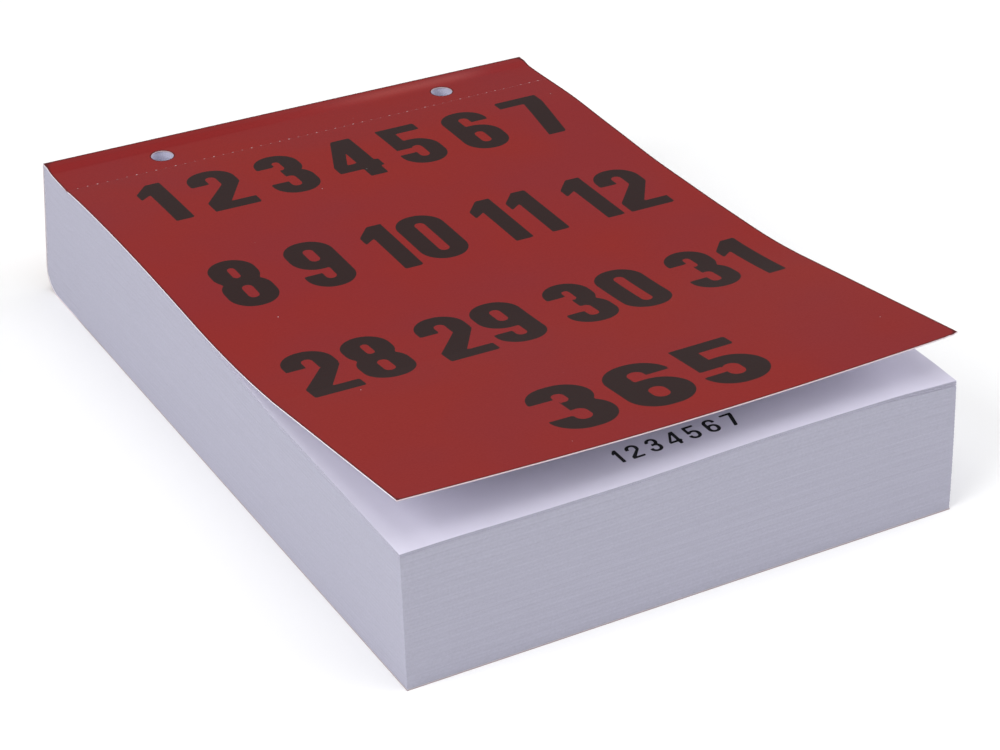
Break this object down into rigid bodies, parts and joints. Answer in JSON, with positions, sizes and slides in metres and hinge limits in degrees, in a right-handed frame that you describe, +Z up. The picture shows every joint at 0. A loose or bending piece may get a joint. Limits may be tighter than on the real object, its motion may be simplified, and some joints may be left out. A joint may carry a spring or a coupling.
{
  "type": "tear-off day calendar",
  "caption": "Tear-off day calendar lying flat: a thick block of perforated leaves bound at the spine, in a wraparound card cover with two hanging holes, its front lifted at the free edge.",
  "frame": {"origin": "on the surface it lies on, under the middle of the block", "axes": "+X along the spine, +Y from the free edge to the spine, +Z up through the leaves"},
  "size_m": [0.137, 0.21, 0.0465],
  "materials": {
    "cover_card": "gloss-laminated red card, white inside and along its cut edges",
    "leaf_paper": "thin uncoated white paper",
    "binding_glue": "dried cream-coloured binding glue"
  },
  "bodies": {
    "block": {"cover_back": "cover_card", "cover_spine": "cover_card", "cover_hinge_strip": "cover_card", "spine_glue": "binding_glue", "bound_stubs": "leaf_paper", "january_leaves": "leaf_paper", "february_leaves": "leaf_paper", "march_leaves": "leaf_paper", "april_leaves": "leaf_paper", "may_leaves": "leaf_paper", "june_leaves": "leaf_paper", "july_leaves": "leaf_paper", "august_leaves": "leaf_paper", "september_leaves": "leaf_paper", "october_leaves": "leaf_paper", "november_leaves": "leaf_paper", "december_leaves": "leaf_paper"},
    "lifting_cover": {"cover_flap": "cover_card"},
    "leaf_01": {"day_leaf_01": "leaf_paper"},
    "leaf_02": {"day_leaf_02": "leaf_paper"},
    "leaf_03": {"day_leaf_03": "leaf_paper"},
    "leaf_04": {"day_leaf_04": "leaf_paper"},
    "leaf_05": {"day_leaf_05": "leaf_paper"},
    "leaf_06": {"day_leaf_06": "leaf_paper"},
    "leaf_07": {"day_leaf_07": "leaf_paper"}
  },
  "joints": [
    {"name": "cover_hinge", "type": "hinge", "parent": "block", "child": "lifting_cover", "pos_m": [0, 0.081, 0.03728], "axis": [-1, 0, 0], "range_deg": [0, 170]},
    {"name": "leaf_01_pull", "type": "slide", "parent": "block", "child": "leaf_01", "axis": [0, -0.9998, -0.0213], "range_m": [0, 0.19]},
    {"name": "leaf_02_pull", "type": "slide", "parent": "block", "child": "leaf_02", "axis": [0, -0.9998, -0.0213], "range_m": [0, 0.19]},
    {"name": "leaf_03_pull", "type": "slide", "parent": "block", "child": "leaf_03", "axis": [0, -0.9998, -0.0213], "range_m": [0, 0.19]},
    {"name": "leaf_04_pull", "type": "slide", "parent": "block", "child": "leaf_04", "axis": [0, -0.9998, -0.0213], "range_m": [0, 0.19]},
    {"name": "leaf_05_pull", "type": "slide", "parent": "block", "child": "leaf_05", "axis": [0, -0.9998, -0.0213], "range_m": [0, 0.19]},
    {"name": "leaf_06_pull", "type": "slide", "parent": "block", "child": "leaf_06", "axis": [0, -0.9998, -0.0213], "range_m": [0, 0.19]},
    {"name": "leaf_07_pull", "type": "slide", "parent": "block", "child": "leaf_07", "axis": [0, -0.9998, -0.0213], "range_m": [0, 0.19]}
  ]
}
